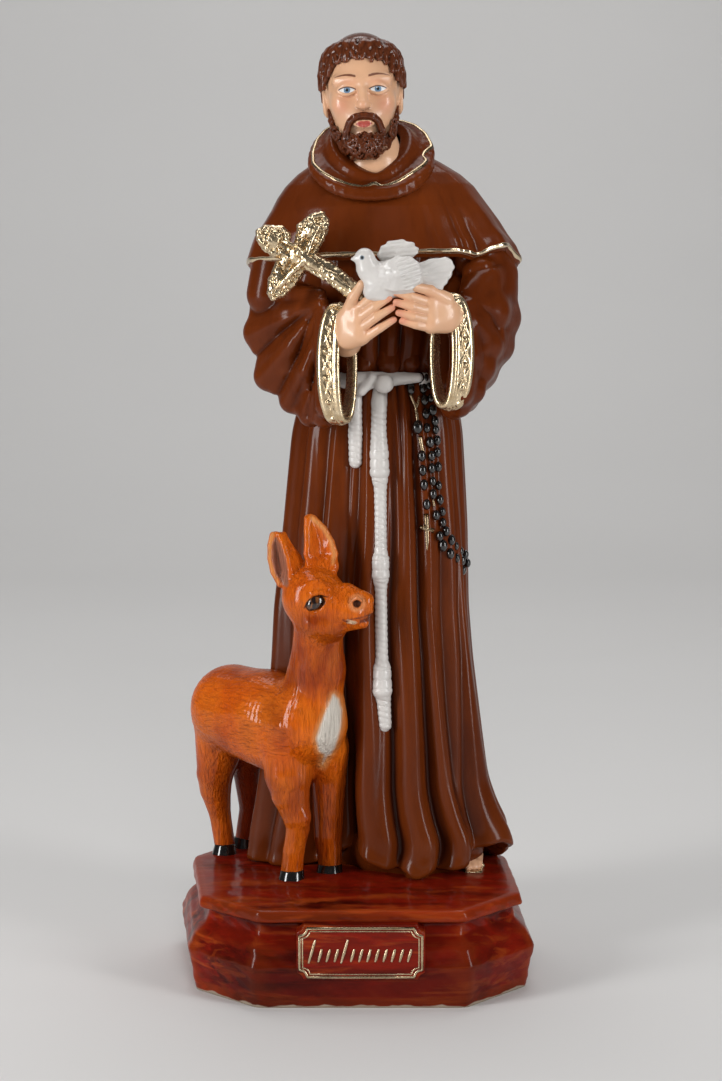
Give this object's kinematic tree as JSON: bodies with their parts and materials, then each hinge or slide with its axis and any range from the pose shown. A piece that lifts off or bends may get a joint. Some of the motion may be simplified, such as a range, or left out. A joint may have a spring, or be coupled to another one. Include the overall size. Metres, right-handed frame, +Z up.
{
  "type": "saint statue",
  "caption": "Painted plaster figure of a standing friar in a hooded habit, holding a dove and a crucifix, with a fawn at one side, on an eight-sided plinth",
  "frame": {"origin": "middle of the plinth's flat underside", "axes": "+Z up, the figure faces -Y, +X to the viewer's right"},
  "size_m": [0.1536, 0.13, 0.3987],
  "materials": {
    "painted_plaster": "varnished brush paint over cast plaster"
  },
  "bodies": {
    "root": {"saint_francis_statue": "painted_plaster"}
  },
  "joints": []
}
